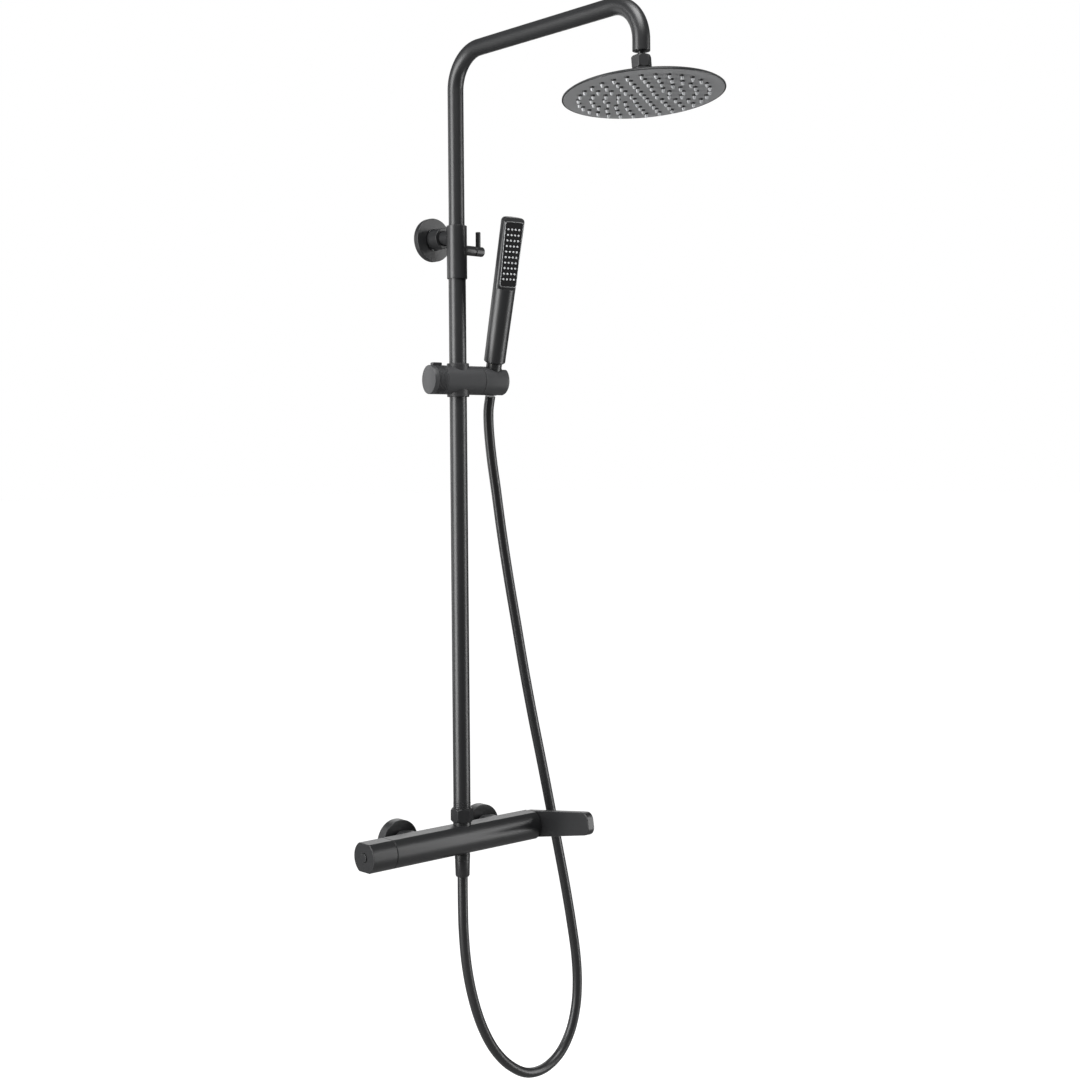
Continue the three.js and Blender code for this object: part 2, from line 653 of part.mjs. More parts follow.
function swivelNut() {
  const inside = turned([[0, -12], [9.1, -12], [9.1, 1.8], [7.9, 3.6], [7.9, 5.5], [0, 5.5]], 14);
  const outside = turned([[0, -10.4], [11.6, -10.4], [12.7, -9.2], [12.7, 3.2], [11.4, 4.4], [0, 4.4]], 14);
  return hexagon(swivelNutFlats, -10.4, 4.4).intersect(outside).subtract(inside);
}

// A thin liner of a ball's zone, concentric with the ball, so that it turns freely in the nut.
function ballLiner() {
  const [inner, outer] = [ballRadius + 0.1, ballRadius + 0.35];
  const steps = 3;
  const [low, high] = [-48, -6];
  const zone = (radius, k) => {
    const a = THREE.MathUtils.degToRad(low + ((high - low) * k) / steps);
    return [radius * Math.cos(a), radius * Math.sin(a)];
  };
  const outside = [0, 1, 2, 3].map((k) => zone(outer, k));
  const inside = [3, 2, 1, 0].map((k) => zone(inner, k));
  return turned([...outside, ...inside, outside[0]], 20);
}

const ballSeal = () => ring(6.3, 8.4, -8.4, -6.2, 14);
const seatWasher = () => ring(5.4, 8.4, -10.1, -8.7, 14);

const shellTop = -headDrop + headRimDepth;

function headShell() {
  const neck = -10.8;
  return turned([[5, neck], [5, shellTop - 0.6], [40, shellTop - 0.6],
    [headRadius - 1.2, -headDrop + 1.8], [headRadius - 1.2, -headDrop], [headRadius, -headDrop],
    [headRadius - 3, -headDrop + 4], [14, shellTop + 4], [10.8, -26],
    [10.8, neck], [5, neck]], 28);
}

function headSpots(make) {
  const bodies = [make()];
  for (let k = 1; k <= headRings; k += 1) {
    const count = 6 * k;
    for (let i = 0; i < count; i += 1) {
      const a = Math.PI / 6 + (2 * Math.PI * i) / count;
      bodies.push(make().translate([k * headRingPitch * Math.cos(a), k * headRingPitch * Math.sin(a), 0]));
    }
  }
  return joined(bodies);
}

const plateRadius = headRadius - 1.6;

function headSprayPlate() {
  const plate = rod(plateRadius, -headDrop, -headDrop + 1.2, 28);
  return plate.subtract(headSpots(() => rod(3, -headDrop - 2, -headDrop + 3, 4)));
}

function headNozzleMat() {
  const mat = rod(88, -headDrop + 1.5, -headDrop + 2.1, 24);
  return mat.add(headSpots(() => cone(1.7, -headDrop - 3.4, 2.5, -headDrop + 1.8, 4)));
}

// ---- hose ---------------------------------------------------------------------------------------
const outletNut = () => turned([[7.6, outletNutFoot], [8.6, outletNutFoot], [9.9, outletNutFoot + 2],
  [10.8, outletNutTop], [8.2, outletNutTop], [8.2, -33.4], [7.6, -33.4], [7.6, outletNutFoot]], 16);
const outletFerrule = () => ring(4, 7.3, outletNutFoot + 0.4, -33.7, 16);

// The route of the hose's centre line, from the handset's cone nut down, round and up to the valve.
const hoseRoute = [
  [55.2, -61.9, 619.2], [56.2, -56.8, 601], [58.3, -54.2, 580], [61, -53.6, 555], [64.6, -54.2, 525],
  [70, -55, 490], [79, -56, 430], [91, -57, 362], [104, -58, 296], [119, -58, 225], [136, -58, 152],
  [153, -58, 84], [169, -58, 18], [184, -58, -44], [198, -58, -104], [210, -58, -162],
  [218.5, -58, -212], [221, -58, -252], [217.5, -58, -290], [205, -58, -326], [183, -58, -353],
  [152, -58, -367], [119, -58, -365], [86, -58, -346], [57, -58, -316], [34, -58, -277],
  [17, -58, -231], [6, -58, -182], [1, -58, -132], [0, -58, -90], [0, -58, -54.3],
];

function showerHose() {
  const points = hoseRoute.map(([x, y, z]) => new THREE.Vector3(x, y, z));
  const path = new THREE.CatmullRomCurve3(points, false, 'centripetal');
  const section = circleShape(hoseRadius, hoseSides);
  return solid(new THREE.ExtrudeGeometry(section, { extrudePath: path, steps: 36 }));
}

// ---- assembly -----------------------------------------------------------------------------------
function placed(x, y, z, members) {
  const group = new THREE.Group();
  group.position.set(x, y, z);
  group.add(...members);
  return group;
}

const valve = placed(0, -axisOut, 0, [
  piece('valve_body', valveBody(), mattBlack),
  piece('thermostat_cartridge', cartridge(-1), bareBrass),
  piece('thermostat_retaining_nut', retainingNut(-1), bareBrass),
  piece('temperature_spindle', temperatureSpindle(), bareBrass),
  piece('temperature_knob', temperatureKnob(), mattBlack),
  piece('knob_screw', knobScrew(), steel),
  piece('safety_stop_button', stopButton(), mattBlack),
  piece('button_spring', buttonSpring(), steel),
  piece('flow_cartridge', cartridge(1), bareBrass),
  piece('flow_retaining_nut', retainingNut(1), bareBrass),
  piece('flow_spindle', flowSpindle(), bareBrass),
  piece('flow_lever', flowLever(), mattBlack),
  piece('lever_screw', leverScrew(), steel),
  piece('lever_cap', leverCap(), mattBlack),
  piece('outlet_hose_nut', outletNut(), mattBlack),
  piece('outlet_ferrule', outletFerrule(), steel),
]);

const riser = placed(0, -axisOut, 0, [
  piece('riser_nut', riserNut(), mattBlack),
  piece('riser_tailpiece', riserTailpiece(), mattBlack),
  piece('lower_riser_tube', lowerTube(), mattBlack),
  piece('riser_arm_tube', riserArm(), mattBlack),
  piece('riser_guide_bush', guideBush(), whitePlastic),
  piece('riser_sleeve', riserSleeve(), mattBlack),
  piece('sleeve_seal', sleeveSeal(), blackRubber),
]);

const clamp = placed(0, -axisOut, clampHeight, [
  piece('clamp_pad', clampPad(), whitePlastic),
  piece('clamp_screw', clampScrew(), steel),
  piece('clamp_lever', clampLever(), mattBlack),
]);

const slider = placed(0, -axisOut, sliderHeight, [
  piece('slider_body', sliderBody(), mattBlack),
  piece('slider_bush', sliderBush(), blackPlastic),
  piece('brake_shoe', brakeShoe(), blackPlastic),
  piece('lock_spindle', lockSpindle(), steel),
  piece('lock_knob', lockKnob(), mattBlack),
  piece('tilt_pivot_bolt', pivotBolt(), steel),
]);
slider.rotation.z = THREE.MathUtils.degToRad(sliderSwingDeg);

const holder = placed(0, 0, 0, [piece('handset_holder', handsetHolder(), mattBlack)]);
const handset = placed(handsetOffset, 0, 0, [
  piece('hose_cone_nut', coneNut(), mattBlack),
  piece('hose_top_ferrule', topFerrule(), steel),
  piece('handset_inlet', handsetInlet(), bareBrass),
  piece('handset_body', handsetBody(), mattBlack),
  piece('handset_face_plate', handsetFacePlate(), blackPlastic),
  piece('handset_nozzle_mat', handsetNozzleMat(), paleSilicone),
  piece('handset_face_frame', handsetFaceFrame(), steel),
]);
holder.add(handset);
holder.rotation.x = THREE.MathUtils.degToRad(handsetTiltDeg);
slider.add(holder);

const head = placed(0, -armReach, ballHeight, [
  piece('swivel_nut', swivelNut(), mattBlack),
  piece('ball_liner', ballLiner(), whitePlastic),
  piece('ball_seal', ballSeal(), blackRubber),
  piece('seat_washer', seatWasher(), whitePlastic),
  piece('head_shell', headShell(), mattBlack),
  piece('head_spray_plate', headSprayPlate(), greyPlate),
  piece('head_nozzle_mat', headNozzleMat(), paleSilicone),
]);
head.rotation.x = THREE.MathUtils.degToRad(headTiltDeg);
const nipple = placed(0, -armReach, ballHeight, [piece('arm_ball_nipple', armBallNipple(), mattBlack)]);

const column = new THREE.Group();
column.add(valve, wallConnection(-1, 'left'), wallConnection(1, 'right'), riser, clamp);
column.add(bracketFixing(), slider, nipple, head);
column.add(piece('shower_hose', showerHose(), hosePvc));

export default column;
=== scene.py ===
# %% [markdown]
# # Rainfall shower column
# A thermostatic bar valve stands on two wall supplies. A riser tube climbs from it, telescopes at a wall
# bracket and bends over into an arm with a rain head. A slider on the riser holds a stick handset, whose
# hose hangs in a loop back to the valve. The solid model gives every size and place; this lesson gives
# the same pieces their fine edges, their small grooves and their finishes.

# %% Frame
import json
import math

import bmesh
import bpy
from mathutils import Matrix, Vector


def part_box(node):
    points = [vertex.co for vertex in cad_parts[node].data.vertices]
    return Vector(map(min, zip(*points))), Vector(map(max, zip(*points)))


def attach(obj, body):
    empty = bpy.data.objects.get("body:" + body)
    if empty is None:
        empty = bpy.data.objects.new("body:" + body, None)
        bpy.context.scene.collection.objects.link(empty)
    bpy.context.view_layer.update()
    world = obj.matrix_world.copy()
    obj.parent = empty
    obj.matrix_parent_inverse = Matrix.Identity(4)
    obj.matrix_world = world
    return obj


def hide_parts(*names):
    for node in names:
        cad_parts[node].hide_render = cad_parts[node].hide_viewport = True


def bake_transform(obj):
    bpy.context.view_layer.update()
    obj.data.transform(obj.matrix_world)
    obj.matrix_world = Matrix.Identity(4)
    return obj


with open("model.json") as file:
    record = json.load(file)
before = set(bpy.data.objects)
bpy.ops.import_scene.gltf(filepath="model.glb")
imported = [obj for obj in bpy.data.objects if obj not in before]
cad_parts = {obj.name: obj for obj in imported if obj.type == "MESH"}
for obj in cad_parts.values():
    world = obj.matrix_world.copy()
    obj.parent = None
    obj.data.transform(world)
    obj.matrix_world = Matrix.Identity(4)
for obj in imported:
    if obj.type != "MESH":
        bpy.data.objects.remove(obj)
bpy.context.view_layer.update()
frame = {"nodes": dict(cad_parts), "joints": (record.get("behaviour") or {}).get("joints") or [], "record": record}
mm = 0.001
joints = {joint["name"]: joint for joint in frame["joints"]}
body_of = {node: body for body, nodes in frame["record"]["behaviour"]["bodies"].items() for node in nodes}
slot_of = {part["node"]: part["material_slot"] for part in frame["record"]["subparts"]}

# %% [markdown]
# ## Camera
# A catalogue picture of a tall wall fitting is taken from the side at the middle of its height, with a
# lens a little longer than normal, so that tubes stay straight and the rain head shows its underside.
# The camera's axes are worked out from a turn, a slight downward look and a small roll.

# %% Camera
lens = bpy.data.cameras.new("studio_lens")
lens.sensor_width = 36
lens.lens = 54.24
camera = bpy.data.objects.new("studio_camera", lens)
bpy.context.scene.collection.objects.link(camera)
bpy.context.scene.camera = camera
turn, look, roll = math.radians(42.4), math.radians(-2.5), math.radians(-0.4)
ahead = Vector((math.sin(turn) * math.cos(look), math.cos(turn) * math.cos(look), math.sin(look)))
right = Vector((math.cos(turn), -math.sin(turn), 0))
above = right.cross(ahead)
rolled_right = right * math.cos(roll) + above * math.sin(roll)
rolled_above = above * math.cos(roll) - right * math.sin(roll)
axes = Matrix((rolled_right, rolled_above, -ahead)).transposed()
eye = Vector((-1.4425, -1.8037, 0.5164))
camera.matrix_world = Matrix.Translation(eye) @ axes.to_4x4()
print("camera looks along", [round(value, 3) for value in ahead])

# %% [markdown]
# ## Arithmetic for shaders
# A finish that changes over a surface is a formula. Wrapping a node's output in a small class lets the
# formula be written as ordinary Python, and each sum or product adds its own Math node.

# %% Signals
class Signal:
    """A number that varies over a surface: one output socket, with arithmetic."""

    def __init__(self, tree, socket):
        self.tree = tree
        self.socket = socket

    def combined(self, operation, first, second):
        node = self.tree.nodes.new("ShaderNodeMath")
        node.operation = operation
        for slot, value in zip(node.inputs, (first, second)):
            if isinstance(value, Signal):
                self.tree.links.new(value.socket, slot)
            else:
                slot.default_value = value
        return Signal(self.tree, node.outputs[0])

    def __add__(self, other):
        return self.combined("ADD", self, other)

    def __radd__(self, other):
        return self.combined("ADD", other, self)

    def __mul__(self, other):
        return self.combined("MULTIPLY", self, other)

    def __rmul__(self, other):
        return self.combined("MULTIPLY", other, self)


# %% [markdown]
# ## A finish
# Every finish here is one principled shader. What is the same all over is set on the shader itself, and
# what varies is fed by nodes that read the piece's own Object coordinates, so nothing slides when a
# joint moves.

# %% Finish
class Finish:
    """One material, with its shader's constants and the nodes that feed it."""

    def __init__(self, name, constants):
        self.material = bpy.data.materials.new(name)
        self.material.use_nodes = True
        self.tree = self.material.node_tree
        self.shader = next(n for n in self.tree.nodes if n.type == "BSDF_PRINCIPLED")
        for socket, value in constants.items():
            self.shader.inputs[socket].default_value = value

    def feed(self, slot, value):
        if isinstance(value, Signal):
            self.tree.links.new(value.socket, slot)
        else:
            slot.default_value = value

    def node(self, kind, settings, sockets, output=0):
        made = self.tree.nodes.new(kind)
        for name, value in settings.items():
            setattr(made, name, value)
        for name, value in sockets.items():
            self.feed(made.inputs[name], value)
        return Signal(self.tree, made.outputs[output])

    def grain(self, scale, detail):
        place = self.node("ShaderNodeTexCoord", {}, {}, output=3)
        return self.node("ShaderNodeTexNoise", {}, {"Vector": place, "Scale": scale, "Detail": detail})

    def tint(self, amount, dark, light):
        colours = {0: amount, 6: (*dark, 1), 7: (*light, 1)}
        mixed = self.node("ShaderNodeMix", {"data_type": "RGBA"}, colours, output=2)
        self.feed(self.shader.inputs["Base Color"], mixed)

    def relief(self, height, strength, depth):
        bumped = self.node("ShaderNodeBump", {}, {"Height": height, "Strength": strength, "Distance": depth})
        self.feed(self.shader.inputs["Normal"], bumped)


# %% [markdown]
# ## Black finishes
# Brass and stainless pieces are sprayed or plated black. The coating is nearly black, not glossy, with a
# very fine orange-peel texture that widens highlights, and hands and water leave patches that are a
# little smoother. Two noises give that: a coarse one for the patches, a fine one for the texture. The
# slider and holder are a shade lighter and more matt than the tubes, and the plate of the spray face is
# a deep black plastic that hardly shines, so each has its own numbers in the same recipe, as the hose's
# skin and the rubber seals do.

# %% Black coating and black plastic
def coated(name, dark, light, roughness, spread, texture, specular):
    finish = Finish(name, {"Specular IOR Level": specular, "Metallic": 0.0})
    patches = finish.grain(scale=9, detail=3)
    finish.tint(patches, dark, light)
    finish.feed(finish.shader.inputs["Roughness"], roughness - spread / 2 + patches * spread)
    finish.relief(finish.grain(scale=1400, detail=1), strength=texture, depth=0.05 * mm)
    return finish.material


finishes = {
    "matt_black_metal": coated("satin_black_coating", (0.0105, 0.0108, 0.0115), (0.0145, 0.0148, 0.0155),
                               0.37, 0.06, 0.25, 0.40),
    "black_plastic": coated("moulded_black_plastic", (0.012, 0.012, 0.013), (0.017, 0.017, 0.018),
                            0.50, 0.05, 0.35, 0.4),
    "hose_pvc": coated("smooth_black_hose_skin", (0.011, 0.0112, 0.0118), (0.015, 0.0152, 0.0158),
                       0.36, 0.08, 0.12, 0.42),
    "slider_coating": coated("satin_slider_coating", (0.028, 0.0285, 0.03), (0.034, 0.0345, 0.036),
                             0.46, 0.06, 0.25, 0.40),
    "spray_black": coated("deep_black_plastic", (0.006, 0.006, 0.0065), (0.009, 0.009, 0.0095),
                          0.42, 0.05, 0.3, 0.12),
    "black_rubber": coated("black_seal_rubber", (0.008, 0.008, 0.008), (0.014, 0.014, 0.014),
                           0.75, 0.05, 0.5, 0.3),
}
print("black finishes:", sorted(finishes))

# %% [markdown]
# ## Pale and bare finishes
# The rain head's spray plate is matt black, and the grey it is given here is a painted sheen that stands for the
# soft reflection on it seen from below. The nozzles are pale silicone so that lime shows and rubs off, and what is
# hidden inside is bare brass, steel or natural plastic. They use the same recipe with other numbers, and the
# metals are metallic with fine turning marks.

# %% Pale finishes and metals
def bare_metal(name, dark, light, roughness, spread=0.12):
    finish = Finish(name, {"Metallic": 1.0})
    marks = finish.grain(scale=320, detail=4)
    finish.tint(marks, dark, light)
    finish.feed(finish.shader.inputs["Roughness"], roughness + marks * spread)
    finish.relief(marks, strength=0.1, depth=0.05 * mm)
    return finish.material


# Painted sheen: a matt black spray plate coloured mid grey for the reflection it shows from below.
finishes["grey_spray_plate"] = coated("spray_face_painted_sheen", (0.20, 0.202, 0.206), (0.235, 0.237, 0.241),
                                      0.46, 0.08, 0.2, 0.5)
finishes["pale_silicone"] = coated("pale_silicone", (0.44, 0.45, 0.46), (0.52, 0.53, 0.54),
                                   0.5, 0.06, 0.2, 0.5)
finishes["white_plastic"] = coated("natural_white_plastic", (0.62, 0.62, 0.60), (0.70, 0.70, 0.67),
                                   0.5, 0.06, 0.2, 0.5)
finishes["bare_brass"] = bare_metal("bare_brass", (0.50, 0.36, 0.14), (0.60, 0.45, 0.20), 0.28)
finishes["stainless_steel"] = bare_metal("plain_stainless", (0.30, 0.305, 0.31), (0.38, 0.385, 0.39), 0.34)
for node, solid in frame["nodes"].items():
    solid.material_slots[0].material = finishes[slot_of[node]]
print(len(finishes), "finishes on", len(frame["nodes"]), "solid pieces")

# %% [markdown]
# ## The hose's route
# A shower hose is a length of reinforced tube that leaves the handset's nut downwards, sweeps out under its own
# weight and comes back up to the valve's outlet. Its route is a list of given points, smoothed by a curve through
# them, with the spacing that keeps a curve from overshooting.

# %% Hose route
hose_radius = 7.2 * mm
hose_points = [Vector(point) * mm for point in [
    (55.2, -61.9, 619.2), (56.2, -56.8, 601), (58.3, -54.2, 580), (61, -53.6, 555), (64.6, -54.2, 525),
    (70, -55, 490), (79, -56, 430), (91, -57, 362), (104, -58, 296), (119, -58, 225), (136, -58, 152),
    (153, -58, 84), (169, -58, 18), (184, -58, -44), (198, -58, -104), (210, -58, -162),
    (218.5, -58, -212), (221, -58, -252), (217.5, -58, -290), (205, -58, -326), (183, -58, -353),
    (152, -58, -367), (119, -58, -365), (86, -58, -346), (57, -58, -316), (34, -58, -277),
    (17, -58, -231), (6, -58, -182), (1, -58, -132), (0, -58, -90), (0, -58, -54.3)]]


def smoothed(points, steps):
    """Points along a centripetal curve that passes through every given point."""
    extended = [points[0] * 2 - points[1], *points, points[-1] * 2 - points[-2]]
    route = []
    for a, b, c, d in zip(extended, extended[1:], extended[2:], extended[3:]):
        t1 = (b - a).length ** 0.5
        t2 = t1 + (c - b).length ** 0.5
        t3 = t2 + (d - c).length ** 0.5
        for step in range(steps):
            t = t1 + (t2 - t1) * step / steps
            ab, bc, cd = a.lerp(b, t / t1), b.lerp(c, (t - t1) / (t2 - t1)), c.lerp(d, (t - t2) / (t3 - t2))
            abc, bcd = ab.lerp(bc, t / t2), bc.lerp(cd, (t - t1) / (t3 - t1))
            route.append(abc.lerp(bcd, (t - t1) / (t2 - t1)))
    return route + [points[-1]]


hose_route = smoothed(hose_points, steps=12)
travelled = [0.0]
for before, after in zip(hose_route, hose_route[1:]):
    travelled.append(travelled[-1] + (after - before).length)
print("hose length", round(travelled[-1], 3), "m")

# %% [markdown]
# ## A tube along a route
# Rings of points stand square to the route. Each ring's first spoke is carried over from the ring before
# it, so that the tube never twists. Neighbouring rings are joined point to point by quads, because the
# bridging operator chooses its own first point and can turn a ring that changes shape, and the two end
# rings are closed.

# %% Tube rings
def ring_frames(route):
    """(point, spoke, second spoke) at every point of a route, with no twist from one to the next."""
    frames = []
    spoke = Vector((0, -1, 0))
    for i, point in enumerate(route):
        along = (route[min(i + 1, len(route) - 1)] - route[max(i - 1, 0)]).normalized()
        spoke = (spoke - along * spoke.dot(along)).normalized()
        frames.append((point, spoke, along.cross(spoke)))
    return frames


def ring_at(place, radius, sides):
    point, first, second = place
    angles = [2 * math.pi * k / sides for k in range(sides)]
    return [point + first * (radius * math.cos(a)) + second * (radius * math.sin(a)) for a in angles]


def skinned(rings, capped=True):
    """A skin over rings that all have the same count of points."""
    shape = bmesh.new()
    made = [[shape.verts.new(point) for point in ring] for ring in rings]
    for low, high in zip(made, made[1:]):
        for i in range(len(low)):
            j = (i + 1) % len(low)
            shape.faces.new((low[i], low[j], high[j], high[i]))
    if capped:
        shape.faces.new(made[0])
        shape.faces.new(made[-1])
    bmesh.ops.recalc_face_normals(shape, faces=shape.faces)
    return shape


# %% [markdown]
# ## From shape to piece
# A finished shape becomes an object at the origin with its place in its mesh. Most pieces get a Bevel
# modifier that rounds every real edge by a few tenths of a millimetre, as polishing before coating
# does, and its hardened normals keep flats flat. A piece without one keeps its corners as creases. The
# piece then rides on the body of the solid it stands for and takes that solid's finish, unless it is
# given its own.

# %% Pieces
def mesh_object(name, shape, at=Matrix(), sharp=180):
    bmesh.ops.transform(shape, matrix=at, verts=shape.verts)
    mesh = bpy.data.meshes.new(name)
    shape.to_mesh(mesh)
    shape.free()
    mesh.shade_smooth()
    mesh.set_sharp_from_angle(angle=math.radians(sharp))
    made = bpy.data.objects.new(name, mesh)
    bpy.context.scene.collection.objects.link(made)
    return made


def dressed(made, node, finish=None):
    made.data.materials.append(finish or finishes[slot_of[node]])
    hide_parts(node)
    return made


def piece(name, shape, node, at=Matrix(), edge=0.4, rounds=2, finish=None):
    crease = 180 if edge else 35
    made = mesh_object(name, shape, at, sharp=crease)
    if edge:
        bevel = made.modifiers.new("edges", "BEVEL")
        bevel.width = edge * mm
        bevel.segments = rounds
        bevel.limit_method = "ANGLE"
        bevel.angle_limit = math.radians(28)
        bevel.harden_normals = True
    dressed(made, node, finish)
    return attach(made, body_of[node])


# %% [markdown]
# ## The hose in six runs
# The hose's two ends move apart in four ways: the slider travels and swings, the holder tilts and the handset
# lifts. The hose is six runs end to end: one for each of those motions, the bottom of the loop, and the rise to
# the valve. Each run is listed with two bodies, a still one and a moving one; the route is cut at given lengths
# and at the bottom of the loop, and each run is skinned as a tube with the hose's finish.

# %% Hose runs
runs = [("hose_at_nut", "holder", "hose_end"),
        ("hose_under_holder", "slider", "holder"),
        ("hose_beside_riser", "slider_carriage", "slider"),
        ("hose_falling", "fixed_column", "slider_carriage"),
        ("hose_bottom", "fixed_column", "slider_carriage"),
        ("hose_rising", "fixed_column", "slider_carriage")]
first_ends = (0.09, 0.20, 0.42)
loop_top = -0.25
below = [i for i, point in enumerate(hose_route) if point.z < loop_top]
cuts = [0] + [next(i for i, far in enumerate(travelled) if far >= wanted) for wanted in first_ends]
cuts += [below[0], below[-1], len(hose_route) - 1]
hose_frames = ring_frames(hose_route)
for k, (name, still, moving) in enumerate(runs):
    first, last = cuts[k], cuts[k + 1]
    rings = [ring_at(place, hose_radius, sides=24) for place in hose_frames[first:last + 1]]
    run = mesh_object(name, skinned(rings), sharp=50)
    dressed(run, "shower_hose")
    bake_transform(run)
    hose_route[first:last + 1]
    print(name, round(travelled[last] - travelled[first], 3), "m")

# %% [markdown]
# ## Turned pieces
# Most pieces of a shower column are turned on a lathe, so they are made the same way here: an outline of
# radius and height is spun about Z, seams and poles are merged, and the piece is laid along its own
# axis. Outlines are in millimetres, like a workshop drawing.

# %% Turning
def turned(outline, steps=64):
    shape = bmesh.new()
    points = [shape.verts.new((radius * mm, 0, height * mm)) for radius, height in outline]
    closed = outline[0][0] > 0 or outline[-1][0] > 0
    chain = points + points[:1] if closed else points
    edges = [shape.edges.new(pair) for pair in zip(chain, chain[1:])]
    bmesh.ops.spin(shape, geom=points + edges, axis=(0, 0, 1), cent=(0, 0, 0), dvec=(0, 0, 0),
                   angle=2 * math.pi, steps=steps, use_merge=True)
    bmesh.ops.remove_doubles(shape, verts=shape.verts, dist=1e-6)
    bmesh.ops.recalc_face_normals(shape, faces=shape.faces)
    return shape


def rod(radius, low, high, steps=64):
    return turned([(0, low), (radius, low), (radius, high), (0, high)], steps)


def tube(inner, outer, low, high, steps=64):
    return turned([(inner, low), (outer, low), (outer, high), (inner, high)], steps)


# %% [markdown]
# ## Axes
# Places come from the solid model. The valve and riser share one vertical plane, given by the middle of
# the riser tube's box; the slider, handset and rain head have turned axes, which are the axes of their
# joints.

# %% Placing
def middle(node):
    low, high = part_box(node)
    return (low + high) / 2


def joint_point(name):
    return Vector(joints[name]["pos_m"])


riser_centre = middle("lower_riser_tube")
valve = Matrix.Translation((0, riser_centre.y, 0))
along_x = Matrix.Rotation(math.pi / 2, 4, "Y")
into_room = Matrix.Rotation(math.pi / 2, 4, "X")
swing_axis = joints["lock_knob_turn"]["axis"]
swing = math.atan2(swing_axis[1], swing_axis[0])
slider_height = joint_point("holder_tilt").z
slider = Matrix.Translation((0, riser_centre.y, slider_height)) @ Matrix.Rotation(swing, 4, "Z")
handset_tilt = math.acos(joints["handset_lift"]["axis"][2])
holder_out = (joint_point("holder_tilt") - slider.translation).length
handset = slider @ Matrix.Translation((holder_out, 0, 0)) @ Matrix.Rotation(handset_tilt, 4, "X")
head_axis = joints["head_spin"]["axis"]
head_tip = -math.atan2(head_axis[1], head_axis[2])
head = Matrix.Translation(joint_point("head_spin")) @ Matrix.Rotation(head_tip, 4, "X")
print("slider swings", round(math.degrees(swing), 1), "handset tilts", round(math.degrees(handset_tilt), 1))

# %% [markdown]
# ## Valve barrel
# The valve is a cast and machined barrel: a round bar flattened above and below, where the flat top
# catches the light as one bright strip. Its section is drawn by angle, the smaller of the circle's radius
# and the distance to the flat, and the barrel is that section pulled along X.

# %% Valve barrel
barrel_radius = 22.5 * mm
barrel_half_height = 19.5 * mm


def barrel_ring(x, inset=0.0, sides=96):
    ring = []
    for k in range(sides):
        angle = 2 * math.pi * k / sides
        flat = barrel_half_height / max(abs(math.sin(angle)), 0.01)
        reach = min(barrel_radius, flat) - inset
        ring.append(Vector((x, reach * math.cos(angle), reach * math.sin(angle))))
    return ring


barrel_left, barrel_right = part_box("valve_body")[0].x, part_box("valve_body")[1].x
piece("valve_barrel", skinned([barrel_ring(barrel_left), barrel_ring(barrel_right)]), "valve_body",
      at=valve, edge=0.7, rounds=3)
piece("riser_boss", rod(radius=12.6, low=18, high=23.6), "valve_body", at=valve, edge=0.5)
piece("outlet_boss", rod(radius=10.6, low=-21.9, high=-18), "valve_body", at=valve)
supply_x = middle("valve_rosette_right").x
for side, label in ((-1, "left"), (1, "right")):
    back = Matrix.Translation((side * supply_x, riser_centre.y, 0)) @ into_room
    piece(f"inlet_boss_{label}", rod(radius=12.8, low=-29.5, high=-15), "valve_body", at=back)
print("barrel", round(barrel_right - barrel_left, 3), "m long")

# %% [markdown]
# ## Temperature knob
# The knob continues the barrel's section, with a hair-wide seam between them, so that at its middle
# setting the valve is one bar. A round safety stop button sits in its face. The knob is skinned from the
# same section with its face drawn in to a round hole, and the button is turned.

# %% Knob and button
knob_face, knob_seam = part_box("temperature_knob")[0].x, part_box("temperature_knob")[1].x
button_radius = (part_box("safety_stop_button")[1].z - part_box("safety_stop_button")[0].z) / 2


def round_ring(x, radius, sides=96):
    angles = [2 * math.pi * k / sides for k in range(sides)]
    return [Vector((x, radius * math.cos(angle), radius * math.sin(angle))) for angle in angles]


button_gap = 0.35 * mm
hole = button_radius + button_gap
hole_end = knob_face + 6.5 * mm
knob_rings = [barrel_ring(knob_seam), barrel_ring(knob_face), round_ring(knob_face, hole),
              round_ring(hole_end, hole)]
piece("temperature_knob_shell", skinned(knob_rings), "temperature_knob", at=valve, edge=0.7, rounds=3)
button = rod(radius=button_radius / mm, low=-171.2, high=-166.8)
piece("stop_button_cap", button, "safety_stop_button", at=valve @ along_x, edge=0.6, rounds=3)
print("knob", round(knob_seam - knob_face, 4), "m long")

# %% [markdown]
# ## Flow lever
# The lever is a thick plate: a round hub as big as the barrel that narrows to a paddle with rounded
# corners. Its outline is two straight edges between three arcs, pulled to the plate's thickness and
# generously rounded, and a small cap covers the screw in the middle of the hub.

# %% Lever
def arc(centre, radius, start, end, steps):
    angles = [math.radians(start + (end - start) * k / steps) for k in range(steps + 1)]
    return [(centre[0] + radius * math.cos(a), centre[1] + radius * math.sin(a)) for a in angles]


lever_sides = (130.4 * mm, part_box("flow_lever")[1].x)
hub_radius = 22.5
corner, corner_out, corner_up, turn_end = 11, 109, 5.2, 88.4
outline = arc((0, 0), hub_radius, 120, 240, 48)
outline += arc((corner_out, -corner_up), corner, -turn_end, 0, 16)
outline += arc((corner_out, corner_up), corner, 0, turn_end, 16)
lever_rise = Matrix.Rotation(math.radians(-8.8), 4, "X")
rings = [[Vector((x, -out * mm, up * mm)) for out, up in outline] for x in lever_sides]
piece("lever_paddle", skinned(rings), "flow_lever", at=valve @ lever_rise, edge=1.0, rounds=3)
screw_cover = rod(radius=4.7, low=141, high=142.7)
piece("lever_screw_cover", screw_cover, "lever_cap", at=valve @ along_x, edge=0.3)
piece("lever_hub_sleeve", rod(radius=8.7, low=127.4, high=131), "flow_lever", at=valve @ along_x)
print("lever reaches", round(corner_out + corner), "mm into the room")

